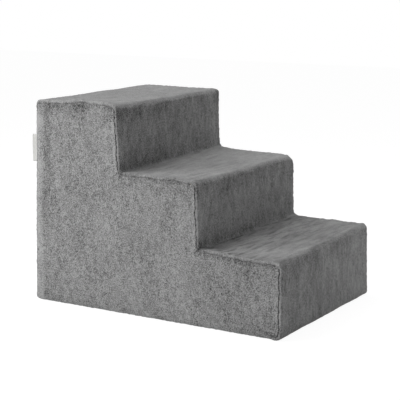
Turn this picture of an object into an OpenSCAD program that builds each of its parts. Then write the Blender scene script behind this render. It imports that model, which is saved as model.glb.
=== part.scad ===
// Pet stairs: a glued foam core of three slabs in a sewn plush cover with a zip under the base.
// +X points to the lowest step, -X to the high back, +Z is up, and the origin is on the floor
// at the middle of the stairs. The side with the label is at -Y.

/* [Steps] */
// Width of the treads
stair_width = 420; // [340:10:520]
// Depth of the top tread
top_tread = 212; // [150:2:300]
// Depth of the middle tread
middle_tread = 198; // [150:2:300]
// Depth of the lowest tread
low_tread = 190; // [150:2:300]
// Height of the lowest step
low_rise = 159; // [110:1:200]
// Height of the middle step
middle_rise = 140; // [100:1:200]
// Height of the top step
top_rise = 141; // [100:1:200]

/* [Plush cover] */
// Thickness of the plush with its pile pressed down
plush_t = 2.5; // [1.8:0.1:4]
// Radius of the step noses
nose_r = 15; // [12:0.5:25]
// Radius of the plush where it runs from a tread up the next riser
corner_r = 7; // [4:0.5:12]
// Radius of the back top edge
back_r = 10; // [9.5:0.5:16]
// Radius of the front and back edges at the floor
foot_r = 10; // [9.5:0.5:16]
// Radius of the roll along the side edges
roll_r = 8; // [6:0.5:9]
// Width of the groove that a seam draws into the plush
seam_w = 1; // [0.6:0.1:2]
// Depth of that groove
seam_d = 1.3; // [0.8:0.1:1.6]
// How far the plush turns under the base at the front and the back
turn_under = 18; // [17:1:30]
// How far the step panel comes down the back
back_drop = 18; // [17:1:30]

/* [Label] */
// Distance from the top of the stairs down to the fold label
label_drop = 74; // [31:1:180]
// Height of the label itself
label_h = 59; // [30:1:70]
// How far the label stands out of the back seam
label_reach = 12.5; // [8:0.5:20]
// Thickness of the ribbon that it is folded from
ribbon_t = 0.35; // [0.2:0.05:0.45]

/* [Base] */
// Thickness of the black base fabric
base_cloth_t = 1.5; // [1:0.1:2.5]
// Height of the rubber dots under it
dot_h = 0.8; // [0.5:0.1:1.2]
// Width of the hems beside the zip
hem_w = 12; // [9:1:20]
// Width of the slot between the hems, which shows the zip
slot_w = 14; // [13:0.5:20]
// Distance of the zip from the middle of the stairs
zip_y = 95; // [40:5:120]

/* [Zip] */
// Width of one zip tape
tape_w = 14; // [12:0.5:18]
// Thickness of the tape
tape_t = 0.6; // [0.4:0.1:0.8]
// Distance between the two tapes
tape_gap = 2; // [1.8:0.1:2.4]
// Distance from each end of the base to the chain of teeth
chain_margin = 32; // [28:1:120]
// Distance from one tooth to the next on the same tape
tooth_pitch = 4; // [3.6:0.1:5]
// Thickness of a tooth along the chain
tooth_t = 1.6; // [1.2:0.1:1.7]
// Thickness of the chain
chain_h = 2.4; // [2:0.1:3]
// How far a tooth grips back over its tape
jaw_l = 2.2; // [1.6:0.1:3]
// Length of an end stop
stop_l = 5; // [3:0.5:8]
// Length of the slider
slider_l = 12; // [11:0.5:15]
// Width of the slider at its divided end
slider_w = 11; // [10.6:0.1:12]
// Thickness of the slider's plates
plate_t = 1; // [0.8:0.1:1.2]
// Length of the pull tab from its pivot to its end
pull_l = 25; // [16:1:28]
// Width of the pull tab
pull_w = 7; // [6:0.5:9]
// Thickness of the pull tab, which is also the diameter of its pivot bar
pull_t = 1.2; // [1:0.1:1.3]

/* [Hidden] */
$fn = 64;

plush_colour = "#878787";
foam_colour = "#e9e2c8";
base_colour = "#1c1c1d";
tape_colour = "#4a4a4b";
teeth_colour = "#55565a";
metal_colour = "#b9bbbe";
label_colour = "#f2f2ee";

// Facets round a soft bar inside a hull
soft_fn = 32;
// Overrun of a cut past the face that it goes through
cut = 1;
// Thickness of the thin slices that a hull is drawn from
slice = 1;

// Side view: x of the back and of the three risers, and height of the three treads
stair_length = top_tread + middle_tread + low_tread;
back_x = -stair_length / 2;
top_x = back_x + top_tread;
middle_x = top_x + middle_tread;
front_x = middle_x + low_tread;
low_z = low_rise;
middle_z = low_z + middle_rise;
top_z = middle_z + top_rise;
// The plush hangs just clear of the floor, since only the dots under the base stand on it
foot_z = dot_h;
half_w = stair_width / 2;

// The foam fills the cover to the inside of the plush, and settles on the base fabric within it
foam_half = half_w - plush_t;
foam_edge_r = roll_r - plush_t;
foam_foot = foot_z + plush_t;
base_top = dot_h + base_cloth_t;
// The inner layer of a side panel's roll runs on this far past its seam line, into the flat part
lip_tail = (foot_r - roll_r) / 2;
label_z = top_z - label_drop - label_h;

// The zip: it lies on the hems, and everything else is placed from the middle of its tapes
hem_layers = 3;
hem_top = dot_h + hem_layers * base_cloth_t;
tape_mid_z = hem_top + tape_t / 2;
base_x0 = back_x + turn_under;
base_x1 = front_x - turn_under;
base_half = half_w - roll_r;
base_length = base_x1 - base_x0;
// Running clearance of the slider over the teeth, and of the pull tab in its loop
slider_clear = 0.3;
pull_clear = 0.2;
plate_gap = chain_h + 2 * slider_clear;
channel_half = tape_gap / 2 + jaw_l + slider_clear;
// Room between the slider and the foam above it, and beside the tapes
zip_room = 0.5;
zip_dent_top = tape_mid_z + plate_gap / 2 + plate_t + zip_room;
zip_dent_half = slot_w / 2 + hem_w + zip_room;
chain_x0 = base_x0 + chain_margin;
teeth_count = floor((base_length - 2 * chain_margin) / tooth_pitch);
// The post that parts the rows stands at the slider's divided end, and its tail points along the zip
post_l = slider_l / 4;
post_half = tape_gap / 2 - pull_clear;
post_tail = -slider_l / 2 + plate_t + post_l + post_half;
// At rest the zip is closed: the first teeth reach into the slider, to just short of the post
slider_x = chain_x0 - slider_clear - post_tail;
stop_x = slider_x - slider_l / 2 - slider_clear - stop_l;
chain_end_x = chain_x0 + (teeth_count + 1 / 2) * tooth_pitch;
slider_travel = chain_end_x - slider_clear - slider_x - slider_l / 2;

// Corners of the side view, clockwise from the foot of the back: [x, z, radius], inset by d.
// The radius of a nose shrinks with the inset, and that of an inner corner grows.
function outline_corners(d) = [
  [back_x + d, foot_z + d, foot_r - d],
  [back_x + d, top_z - d, back_r - d],
  [top_x - d, top_z - d, nose_r - d],
  [top_x - d, middle_z - d, corner_r + d],
  [middle_x - d, middle_z - d, nose_r - d],
  [middle_x - d, low_z - d, corner_r + d],
  [front_x - d, low_z - d, nose_r - d],
  [front_x - d, foot_z + d, foot_r - d]
];

// The sliver between a square corner at the origin and an arc of radius r tangent to both sides
module corner_nib(r) {
  difference() {
    square(r);
    translate([r, r]) circle(r);
  }
}

// Stair-shaped side view, x and z, with its noses rounded and its inner corners filled
module side_outline(d) {
  corners = outline_corners(d);
  nib_turns = [0, -90, 180, 0, 180, 0, 180, 90];
  inner = [3, 5];
  outer = [0, 1, 2, 4, 6, 7];
  difference() {
    union() {
      polygon([for (c = corners) [c[0], c[1]]]);
      for (i = inner)
        translate([corners[i][0], corners[i][1]]) corner_nib(corners[i][2]);
    }
    for (i = outer)
      if (corners[i][2] > 0)
        translate([corners[i][0], corners[i][1]]) rotate(nib_turns[i]) corner_nib(corners[i][2]);
  }
}

// Direction of a path from point i to the next, in degrees above +X
function heading(path, i) = atan2(path[i + 1][1] - path[i][1], path[i + 1][0] - path[i][0]);

// Sweeps a flat section along a path of square corners in the side view. A path's points are
// [x, z, bend radius]. The section's x runs across the stairs, and its y outward, with the path at 0.
module along(path) {
  for (i = [0 : len(path) - 2])
    straight_run(path, i) children();
  for (i = [1 : len(path) - 2])
    bend(path, i) children();
}

module straight_run(path, i) {
  step = [path[i + 1][0] - path[i][0], path[i + 1][1] - path[i][1]];
  translate([path[i][0], 0, path[i][1]])
    rotate([0, -heading(path, i), 0])
      translate([path[i][2], 0, 0])
        rotate([90, 0, 90])
          linear_extrude(norm(step) - path[i][2] - path[i + 1][2]) children();
}

module bend(path, i) {
  before = heading(path, i - 1);
  after = heading(path, i);
  r = path[i][2];
  turns_in = cos(after - before - 90) > 0.5;
  middle = [
    path[i][0] + r * (cos(after) - cos(before)),
    path[i][1] + r * (sin(after) - sin(before))
  ];
  translate([middle[0], 0, middle[1]])
    rotate([90, 0, 0])
      rotate(turns_in ? before + 270 : after + 90)
        rotate_extrude(angle = 90)
          translate([r, 0])
            if (turns_in)
              mirror([1, 1]) children();
            else
              rotate(-90) children();
}

// Quarter ring of plush over a side edge; its middle is at the origin, and it opens to +x and +y
module edge_ring() {
  intersection() {
    difference() {
      circle(roll_r);
      circle(roll_r - plush_t);
    }
    square(roll_r);
  }
}

// Section of a plush strip as wide as the stairs, rolled over both side edges as far as its seams
module rolled_strip() {
  translate([-half_w + roll_r, -plush_t]) square([stair_width - 2 * roll_r, plush_t]);
  for (side = [0, 1])
    mirror([side, 0]) translate([half_w - roll_r, -roll_r]) edge_ring();
}

// Section of the part of a left side panel that rolls round an edge
module left_lip() {
  translate([-half_w + roll_r, -roll_r]) mirror([1, 0]) edge_ring();
  translate([-half_w + seam_d, -roll_r - lip_tail]) square([plush_t - seam_d, lip_tail]);
}

// A stair-shaped plush panel: flat in its own seam line, and rolled round the back and the bottom
module left_side() {
  translate([0, -half_w + plush_t, 0])
    rotate([90, 0, 0])
      linear_extrude(plush_t - seam_d) side_outline(roll_r);
  translate([0, -half_w + seam_d, 0])
    rotate([90, 0, 0])
      linear_extrude(seam_d) {
        side_outline(roll_r + seam_w);
        intersection() {
          side_outline(roll_r);
          union() {
            translate([back_x + roll_r, foot_z])
              square([seam_w, top_z - back_drop - seam_w - foot_z]);
            translate([back_x + roll_r, foot_z + roll_r])
              square([stair_length - roll_r - turn_under - seam_w, seam_w]);
          }
        }
      }
  along([
    [front_x - turn_under, foot_z, 0],
    [back_x, foot_z, foot_r],
    [back_x, top_z - back_drop, 0]
  ]) left_lip();
}

// Bar of foam across the stairs, whose ends are rounded as the side edges are
module soft_bar(x, z, r) {
  end_r = min(foam_edge_r, r);
  for (side = [-1, 1])
    translate([x, side * (foam_half - end_r), z])
      rotate([90, 0, 0])
        rotate_extrude($fn = soft_fn)
          translate([r - end_r, 0])
            intersection() {
              circle(end_r);
              translate([0, -end_r]) square([end_r, 2 * end_r]);
            }
}

// Both upright side edges of a slab at x, from one height to another
module soft_posts(x, z0, z1) {
  for (side = [-1, 1])
    translate([x, side * (foam_half - foam_edge_r), z0])
      cylinder(r = foam_edge_r, h = z1 - z0, $fn = soft_fn);
}

// Both lengthwise side edges of a slab at the height z, as short rods at x
module soft_rods(x, z) {
  for (side = [-1, 1])
    translate([x, side * (foam_half - foam_edge_r), z])
      rotate([0, 90, 0])
        cylinder(r = foam_edge_r, h = slice, $fn = soft_fn);
}

// A square-edged slice across the whole slab at x
module foam_slice(x, z0, z1) {
  translate([x, -foam_half, z0]) cube([slice, 2 * foam_half, z1 - z0]);
}

// Part of a slab that lies under the next one: square above, rounded round the back
module covered_foam(x, z0, z1, foot) {
  hull() {
    if (foot)
      soft_bar(back_x + foot_r, foot_z + foot_r, foot_r - plush_t);
    soft_posts(back_x + plush_t + foam_edge_r, z0 + (foot ? foot_r : 0), z1);
    if (foot)
      soft_rods(x - slice, z0 + foam_edge_r);
    foam_slice(x - slice, z0 + (foot ? foam_edge_r : 0), z1);
  }
}

module foam_base_slab() {
  top = low_z - plush_t;
  x = middle_x - roll_r;
  color(foam_colour)
    difference() {
      union() {
        covered_foam(x, foam_foot, top, true);
        hull() {
          soft_rods(x - slice, top - foam_edge_r);
          soft_rods(x - slice, foam_foot + foam_edge_r);
          soft_bar(front_x - nose_r, low_z - nose_r, nose_r - plush_t);
          soft_bar(front_x - foot_r, foot_z + foot_r, foot_r - plush_t);
        }
        // the part that settles on the base fabric, between the edges of plush that are turned under
        translate([base_x0, -base_half, base_top])
          cube([base_length, 2 * base_half, foam_foot + slice - base_top]);
      }
      // dent that the zip presses into the foam
      translate([base_x0, zip_y - zip_dent_half, base_top - cut])
        cube([base_length, 2 * zip_dent_half, zip_dent_top - base_top + cut]);
    }
}

module foam_middle_slab() {
  bottom = low_z - plush_t;
  top = middle_z - plush_t;
  x = top_x - roll_r;
  color(foam_colour) {
    covered_foam(x, bottom, top, false);
    hull() {
      foam_slice(x - slice, bottom, bottom + slice);
      soft_rods(x - slice, top - foam_edge_r);
      soft_posts(middle_x - plush_t - foam_edge_r, bottom, bottom + slice);
      soft_bar(middle_x - nose_r, middle_z - nose_r, nose_r - plush_t);
    }
  }
}

module foam_top_slab() {
  bottom = middle_z - plush_t;
  color(foam_colour)
    hull() {
      soft_posts(back_x + plush_t + foam_edge_r, bottom, bottom + slice);
      soft_posts(top_x - plush_t - foam_edge_r, bottom, bottom + slice);
      soft_bar(back_x + back_r, top_z - back_r, back_r - plush_t);
      soft_bar(top_x - nose_r, top_z - nose_r, nose_r - plush_t);
    }
}

module left_side_panel() {
  color(plush_colour) left_side();
}

module right_side_panel() {
  color(plush_colour) mirror([0, 1, 0]) left_side();
}

// One strip from the seam across the back, over every tread and riser, to the seam under the front
module step_panel() {
  steps = outline_corners(0);
  color(plush_colour)
    along(concat(
      [[back_x, top_z - back_drop, 0]],
      [for (i = [1 : 7]) steps[i]],
      [[front_x - turn_under, foot_z, 0]]
    )) rolled_strip();
}

// Flat strip between the seams on the back, turned under at the floor
module back_panel() {
  inner_half = half_w - roll_r;
  color(plush_colour) {
    along([
      [back_x + turn_under, foot_z, 0],
      [back_x, foot_z, foot_r],
      [back_x, top_z - back_drop, 0]
    ]) translate([-inner_half, -plush_t]) square([2 * inner_half, plush_t - seam_d]);
    along([
      [back_x + turn_under, foot_z, 0],
      [back_x, foot_z, foot_r],
      [back_x, top_z - back_drop - seam_w, 0]
    ]) translate([-inner_half + seam_w, -seam_d]) square([2 * (inner_half - seam_w), seam_d]);
  }
}

// Base fabric with its dots, from its outer seam to the zip, where it is folded to a hem.
// reach is the distance from the zip to the outer seam, and side is +1 or -1 from the zip.
module base_panel(reach, side) {
  color(base_colour)
    translate([base_x0, zip_y, 0])
      mirror([0, side < 0 ? 1 : 0, 0]) {
        translate([0, slot_w / 2, 0]) cube([base_length, reach - slot_w / 2, base_top]);
        translate([0, slot_w / 2, 0]) cube([base_length, hem_w, hem_top]);
      }
}

module base_panel_left() {
  base_panel(base_half + zip_y, -1);
}

module base_panel_right() {
  base_panel(base_half - zip_y, 1);
}

// Puts children on one tape of the zip: +1 is the right-hand side (+Y), -1 the left
module on_tape(side) {
  translate([0, zip_y, tape_mid_z]) mirror([0, side < 0 ? 1 : 0, 0]) children();
}

module tape(side) {
  color(tape_colour)
    on_tape(side)
      translate([base_x0, tape_gap / 2, -tape_t / 2]) cube([base_length, tape_w, tape_t]);
}

module zip_tape_left() {
  tape(-1);
}

module zip_tape_right() {
  tape(1);
}

// Section of a moulded tooth across the zip: two jaws grip the edge of the tape,
// and a bevelled head reaches over the middle to just short of the other tape
module tooth_section(head) {
  edge = tape_gap / 2;
  polygon([
    [edge + jaw_l, tape_t / 2],
    [edge + jaw_l, chain_h / 2],
    [edge - head / 2, chain_h / 2],
    [edge - head, chain_h / 4],
    [edge - head, -chain_h / 4],
    [edge - head / 2, -chain_h / 2],
    [edge + jaw_l, -chain_h / 2],
    [edge + jaw_l, -tape_t / 2],
    [edge, -tape_t / 2],
    [edge, tape_t / 2]
  ]);
}

// Lays a section across the zip from x over a length
module across_zip(x, length) {
  translate([x, 0, 0]) rotate([90, 0, 90]) linear_extrude(length) children();
}

// Row of teeth on one tape; the two rows stand half a pitch apart
module teeth(side) {
  head = tape_gap - pull_clear / 2;
  shift = side < 0 ? 0 : tooth_pitch / 2;
  color(teeth_colour)
    on_tape(side)
      for (i = [0 : teeth_count - 1])
        across_zip(chain_x0 + shift + i * tooth_pitch, tooth_t) tooth_section(head);
}

module zip_teeth_left() {
  teeth(-1);
}

module zip_teeth_right() {
  teeth(1);
}

// Two clips beyond the slider where the zip is closed, and one bar where it ends
module zip_end_stops() {
  clip_head = tape_gap / 4;
  color(metal_colour) {
    for (side = [-1, 1])
      on_tape(side)
        across_zip(stop_x, stop_l) tooth_section(clip_head);
    on_tape(1)
      across_zip(chain_end_x, stop_l)
        for (side = [0, 1])
          mirror([side, 0]) tooth_section(tape_gap / 2);
  }
}

// Plan of the slider, x along the zip with its divided end at -x: narrow behind, wide in front
module slider_plan() {
  rear_half = channel_half + plate_t;
  front_half = slider_w / 2;
  polygon([
    [slider_l / 2, -rear_half + plate_t / 2],
    [slider_l / 2, rear_half - plate_t / 2],
    [slider_l / 2 - plate_t / 2, rear_half],
    [0, rear_half],
    [-slider_l / 4, front_half],
    [-slider_l / 2 + plate_t, front_half],
    [-slider_l / 2, front_half - plate_t],
    [-slider_l / 2, -front_half + plate_t],
    [-slider_l / 2 + plate_t, -front_half],
    [-slider_l / 4, -front_half],
    [0, -rear_half],
    [slider_l / 2 - plate_t / 2, -rear_half]
  ]);
}

// Channel for the teeth in that plan, which parts towards the divided end
module channel_plan() {
  front_half = slider_w / 2 - plate_t;
  polygon([
    [slider_l / 2 + cut, -channel_half],
    [slider_l / 2 + cut, channel_half],
    [0, channel_half],
    [-slider_l / 4, front_half],
    [-slider_l / 2 - cut, front_half],
    [-slider_l / 2 - cut, -front_half],
    [-slider_l / 4, -front_half],
    [0, -channel_half]
  ]);
}

// Post that parts the two rows, a slim wedge between the tapes, with its tail at the origin
module post_plan() {
  polygon([
    [0, 0],
    [-post_half, post_half],
    [-post_half - post_l, post_half],
    [-post_half - post_l, -post_half],
    [-post_half, -post_half]
  ]);
}

// Two plates joined by the post, with lips that reach towards the tape and a loop for the pull tab
module zip_slider() {
  lip_h = plate_gap / 2 - tape_t / 2 - slider_clear;
  color(metal_colour)
    translate([slider_x, zip_y, tape_mid_z]) {
      for (side = [0, 1])
        mirror([0, 0, side]) {
          translate([0, 0, plate_gap / 2]) linear_extrude(plate_t) slider_plan();
          translate([0, 0, plate_gap / 2 - lip_h])
            linear_extrude(lip_h)
              difference() {
                slider_plan();
                channel_plan();
              }
        }
      translate([post_tail, 0, -plate_gap / 2]) linear_extrude(plate_gap) post_plan();
      pull_loop();
    }
}

// Depth below the tape's middle of the slider's lower face, and of the pull tab's pivot under it
loop_top = plate_gap / 2 + plate_t;
loop_eye = pull_t + 2 * pull_clear;
loop_wall = 0.7;
loop_half = 3.4;
loop_w = 1.8;
pivot_drop = loop_top + loop_eye / 2;

// Loop under the slider, open across the zip
module pull_loop() {
  translate([0, loop_w / 2, -loop_top])
    rotate([90, 0, 0])
      linear_extrude(loop_w)
        difference() {
          translate([-loop_half, -loop_eye - loop_wall])
            square([2 * loop_half, loop_eye + loop_wall]);
          translate([-loop_half + loop_wall, -loop_eye])
            square([2 * (loop_half - loop_wall), loop_eye + cut]);
        }
}

// Flat tab with an eye round the loop; its pivot bar runs through the loop across the zip
module zip_pull_tab() {
  eye_half = loop_w / 2 + 2 * pull_clear;
  eye_l = 2 * loop_half;
  color(metal_colour)
    translate([slider_x, zip_y, tape_mid_z - pivot_drop]) {
      rotate([90, 0, 0]) cylinder(d = pull_t, h = pull_w, center = true);
      translate([0, 0, -pull_t / 2])
        linear_extrude(pull_t)
          difference() {
            union() {
              translate([0, -pull_w / 2]) square([pull_l - pull_w / 2, pull_w]);
              translate([pull_l - pull_w / 2, 0]) circle(d = pull_w);
            }
            translate([pull_t / 2, -eye_half]) square([eye_l, 2 * eye_half]);
            translate([pull_l - pull_w / 2, 0]) circle(d = pull_w / 2);
          }
    }
}

// Ribbon folded double and caught in the left back seam
module side_label() {
  fold_r = seam_w / 2;
  sewn_x = back_x + seam_d;
  color(label_colour)
    translate([0, -base_half + fold_r, label_z])
      linear_extrude(label_h)
        difference() {
          union() {
            translate([back_x - label_reach + fold_r, -fold_r])
              square([sewn_x - back_x + label_reach - fold_r, 2 * fold_r]);
            translate([back_x - label_reach + fold_r, 0]) circle(fold_r);
          }
          translate([back_x - label_reach + fold_r, -fold_r + ribbon_t])
            square([sewn_x - back_x + label_reach, 2 * (fold_r - ribbon_t)]);
          translate([back_x - label_reach + fold_r, 0]) circle(fold_r - ribbon_t);
        }
}

echo(slider_x = slider_x, slider_travel = slider_travel, pivot_z = tape_mid_z - pivot_drop);

foam_base_slab();
foam_middle_slab();
foam_top_slab();
left_side_panel();
right_side_panel();
step_panel();
back_panel();
base_panel_left();
base_panel_right();
zip_tape_left();
zip_tape_right();
zip_teeth_left();
zip_teeth_right();
zip_end_stops();
zip_slider();
zip_pull_tab();
side_label();
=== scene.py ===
import math

import bmesh
import bpy
import numpy as np
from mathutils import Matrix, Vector, kdtree, noise


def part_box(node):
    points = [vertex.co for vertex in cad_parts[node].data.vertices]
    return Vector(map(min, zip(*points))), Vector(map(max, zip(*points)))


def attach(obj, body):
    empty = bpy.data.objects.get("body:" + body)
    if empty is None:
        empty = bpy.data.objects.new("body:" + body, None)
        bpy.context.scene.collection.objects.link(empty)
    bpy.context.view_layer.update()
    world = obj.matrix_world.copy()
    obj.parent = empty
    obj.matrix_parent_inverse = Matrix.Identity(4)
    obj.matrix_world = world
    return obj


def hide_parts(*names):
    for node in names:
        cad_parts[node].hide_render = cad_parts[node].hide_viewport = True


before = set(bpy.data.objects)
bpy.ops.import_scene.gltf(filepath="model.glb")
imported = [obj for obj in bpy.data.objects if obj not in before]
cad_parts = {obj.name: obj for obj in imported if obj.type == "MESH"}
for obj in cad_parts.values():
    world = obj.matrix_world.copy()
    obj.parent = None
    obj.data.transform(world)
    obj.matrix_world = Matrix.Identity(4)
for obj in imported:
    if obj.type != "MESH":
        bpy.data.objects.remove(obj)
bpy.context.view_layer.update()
scene = bpy.context.scene

# Camera. The stairs are seen from a little above, with the labelled side towards the camera
# and the steps coming down to the right. The long lens keeps the upright edges upright.
camera_azimuth = math.radians(31.49)
camera_tilt = math.radians(10.78)
camera_data = bpy.data.cameras.new("camera")
camera_data.lens = 111.35
camera_data.sensor_width = 36.0
camera = bpy.data.objects.new("camera", camera_data)
scene.collection.objects.link(camera)
camera.location = (1.3781, -2.2678, 0.7238)
camera_looks = Vector((
    -math.sin(camera_azimuth) * math.cos(camera_tilt),
    math.cos(camera_azimuth) * math.cos(camera_tilt),
    -math.sin(camera_tilt),
))
camera.rotation_euler = camera_looks.to_track_quat("-Z", "Y").to_euler()
scene.camera = camera


# Foam core. Three slabs of open-cell polyurethane foam, cut square with a hot wire, rounded
# where the cover is rolled over them, and glued on top of each other. The base slab has given
# way a little over the zip.
plush_t = 0.0025
back_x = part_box("step_panel")[0].x
front_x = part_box("step_panel")[1].x
top_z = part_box("step_panel")[1].z
half_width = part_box("step_panel")[1].y
foot_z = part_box("step_panel")[0].z
low_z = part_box("foam_base_slab")[1].z + plush_t
middle_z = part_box("foam_middle_slab")[1].z + plush_t
middle_riser_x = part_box("foam_middle_slab")[1].x + plush_t
top_riser_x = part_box("foam_top_slab")[1].x + plush_t
nose_r = 0.015
inner_r = 0.007
back_r = 0.010
foot_r = 0.010
roll_r = 0.008
zip_y = (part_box("zip_slider")[0].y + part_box("zip_slider")[1].y) / 2
zip_dent_half = 0.0195
zip_dent_top = 0.0086


def steps(count):
    """0 to 1 in that many equal steps, both ends included."""
    return np.linspace(0.0, 1.0, count + 1)


def side_path(corners, straight_step, arc_count, closed=False):
    """Points [x, z] along square corners (x, z, radius) that are rounded, and the way out at each."""
    points, outward = [], []
    count = len(corners)
    last = count if closed else count - 1
    for i in range(last):
        here = np.array(corners[i][:2])
        following = np.array(corners[(i + 1) % count][:2])
        length = np.linalg.norm(following - here)
        along = (following - here) / length
        out = np.array((-along[1], along[0]))
        start_r = corners[i][2]
        end_r = corners[(i + 1) % count][2]
        run = length - start_r - end_r
        for share in steps(max(1, math.ceil(run / straight_step))):
            points.append(here + along * (start_r + run * share))
            outward.append(out)
        if i == count - 2 and not closed:
            break
        after = np.array(corners[(i + 2) % count][:2]) - following
        after = after / np.linalg.norm(after)
        turn = along[0] * after[1] - along[1] * after[0]
        middle = following + end_r * (after - along)
        for share in steps(arc_count)[1:-1]:
            angle = math.radians(90) * share
            if turn < 0:
                way = out * math.cos(angle) + along * math.sin(angle)
                points.append(middle + way * end_r)
            else:
                way = out * math.cos(angle) - along * math.sin(angle)
                points.append(middle - way * end_r)
            outward.append(way)
    return np.array(points), np.array(outward)


def shade_smooth(mesh):
    mesh.polygons.foreach_set("use_smooth", [True] * len(mesh.polygons))


def mesh_object(name, points, faces):
    """A mesh object from points in metres and faces, smooth shaded."""
    mesh = bpy.data.meshes.new(name)
    mesh.from_pydata([tuple(p) for p in points], [], faces)
    mesh.validate()
    shade_smooth(mesh)
    mesh.update()
    piece = bpy.data.objects.new(name, mesh)
    scene.collection.objects.link(piece)
    return piece


def grid_faces(rows, columns, first=0, around=False):
    """Faces of a grid of points that is numbered row by row."""
    faces = []
    for i in range(rows - 1):
        for j in range(columns if around else columns - 1):
            k = (j + 1) % columns
            faces.append((
                first + i * columns + j,
                first + i * columns + k,
                first + (i + 1) * columns + k,
                first + (i + 1) * columns + j,
            ))
    return faces


def read_points(piece, kind="co"):
    """The piece's points as an array, or with "normal" the way that each faces."""
    found = np.empty(len(piece.data.vertices) * 3)
    piece.data.vertices.foreach_get(kind, found)
    return found.reshape(-1, 3)


def write_points(piece, points):
    piece.data.vertices.foreach_set("co", points.reshape(-1))
    piece.data.update()


def lumps(points, scale, seed, along=(1.0, 1.0, 1.0)):
    """Smooth unevenness from -1 to 1 at every point. scale is a lump's size, which along makes longer."""
    shift = Vector((seed * 3.7, seed * 1.3, seed * 2.1))
    return np.array([noise.noise(Vector(p) + shift) for p in points / (scale * np.array(along))]) * 1.6


def smooth(value, start, end):
    """0 at start and 1 at end, with a soft turn at both."""
    share = np.clip((value - start) / (end - start), 0.0, 1.0)
    return share * share * (3 - 2 * share)


# How far the tight cover leans out of square. The back leans forwards towards its top, and stands
# out a little over its lower half. Each riser stands out at its foot and at its head: first on the
# labelled side, then on the other.
back_leans = 0.0050
back_bulges = 0.0020
riser_reach = 0.055
risers_lean = [
    (top_riser_x, middle_z, top_z, (0.0120, 0.0040), (0.0030, 0.0010)),
    (middle_riser_x, low_z, middle_z, (0.0050, -0.0005), (0.0022, 0.0010)),
    (front_x, foot_z, low_z, (0.0022, 0.0022), (-0.0010, -0.0050)),
]


def leaning(points):
    """Moves points of the square blocks to where the tight cover holds them, lengthwise."""
    x, y, z = points.T
    near = np.clip((half_width - y) / (2 * half_width), 0.0, 1.0)
    above_floor = smooth(z, 0.003, 0.030)
    at_floor = smooth(x, back_x + 0.019, back_x + 0.002)
    in_back = at_floor + (smooth(x, top_riser_x - 0.050, back_x) - at_floor) * above_floor
    shift = (back_leans * (2 * z / top_z - 1) - back_bulges * smooth(z, 0.34, 0.16)) * in_back
    for riser_x, z0, z1, near_side, far_side in risers_lean:
        share = np.clip((z - z0) / (z1 - z0), 0.0, 1.0)
        foot = far_side[0] + (near_side[0] - far_side[0]) * near
        head = far_side[1] + (near_side[1] - far_side[1]) * near
        beside = np.exp(-((x - riser_x) / riser_reach) ** 2) * above_floor * smooth(z, z0 - 0.060, z0)
        shift = shift + (foot + (head - foot) * share) * beside
    return points + np.outer(shift, (1.0, 0.0, 0.0))


# How far the cover spans each inner corner, on the labelled side and on the other.
spans = [(top_riser_x, middle_z, 0.0008, 0.0072), (middle_riser_x, low_z, -0.0012, 0.0030)]
span_on_tread = 0.036
span_on_riser = 0.026
span_depth = 0.020

# The treads rise a little towards the labelled side, where the seam stands up: (place along x, rise).
tread_rise = [
    (-0.300, 0.0000), (-0.268, 0.0028), (-0.218, 0.0046), (-0.193, 0.0080), (-0.168, 0.0095),
    (-0.130, 0.0082), (-0.104, 0.0068), (-0.094, 0.0026), (-0.060, 0.0056), (0.000, 0.0062),
    (0.030, 0.0045), (0.052, 0.0070), (0.076, 0.0042), (0.094, 0.0030), (0.106, 0.0062),
    (0.160, 0.0064), (0.185, 0.0040), (0.215, 0.0014), (0.300, 0.0004),
]
rise_reach = 0.032

# Where each tread starts, its height, and how far it rises towards the other side.
far_rises = [(back_x, top_z, 0.0), (top_riser_x, middle_z, 0.0012), (middle_riser_x, low_z, 0.0017)]

# The noses' corners on the other side, and how far each stands up and out.
far_corners = [(top_riser_x, top_z, 0.0018), (middle_riser_x, middle_z, -0.0040)]
corner_size = 0.014
lowest_z = 0.0003


def fitted(points):
    """Moves points of the square blocks as the cover goes over them: it leans, spans the inner
    corners, and lifts the treads towards its seams."""
    points = leaning(points)
    x, y, z = points.T
    far = smooth(y, -half_width, half_width)
    lifted = points.copy()
    for riser_x, tread_z, span_near, span_far in spans:
        span = span_near + (span_far - span_near) * far
        ahead = np.maximum(x - riser_x, 0.0)
        over = np.maximum(z - tread_z, 0.0)
        in_corner = smooth(x, riser_x - 0.020, riser_x) * smooth(z, tread_z - 0.025, tread_z - 0.004)
        lifted[:, 2] += span * np.exp(-ahead / span_on_tread) * np.exp(-over / span_depth) * in_corner
        lifted[:, 0] += 0.6 * span * np.exp(-over / span_on_riser) * np.exp(-ahead / span_depth) * in_corner
    rise = np.interp(x, *zip(*tread_rise)) * np.exp(-(y + half_width).clip(0.0) / rise_reach)
    for start_x, tread_z, far_rise in far_rises:
        on_tread = smooth(z, tread_z - 0.050, tread_z - 0.006) * smooth(z, tread_z + 0.045, tread_z + 0.010)
        lifted[:, 2] += (rise + far_rise * far) * on_tread * smooth(x, start_x - 0.035, start_x - 0.005)
    for corner_x, corner_z, out in far_corners:
        apart = np.sqrt((x - corner_x) ** 2 + (y - half_width) ** 2 + (z - corner_z) ** 2)
        lifted += np.outer(out * np.exp(-(apart / corner_size) ** 2), (0.6, 0.6, 1.0))
    lifted[:, 2] = np.maximum(lifted[:, 2], lowest_z)
    return lifted


def add_node(material, kind, settings=(), **inputs):
    """Adds a shader node. Inputs are values or sockets, named by their sockets with _ for a space,
    or numbered _0, _1 and so on."""
    made = material.node_tree.nodes.new(kind)
    for name, value in dict(settings).items():
        setattr(made, name, value)
    for name, value in inputs.items():
        socket = made.inputs[int(name[1:])] if name[1:].isdigit() else made.inputs[name.replace("_", " ")]
        if isinstance(value, bpy.types.NodeSocket):
            material.node_tree.links.new(value, socket)
        else:
            socket.default_value = value
    return made


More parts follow.
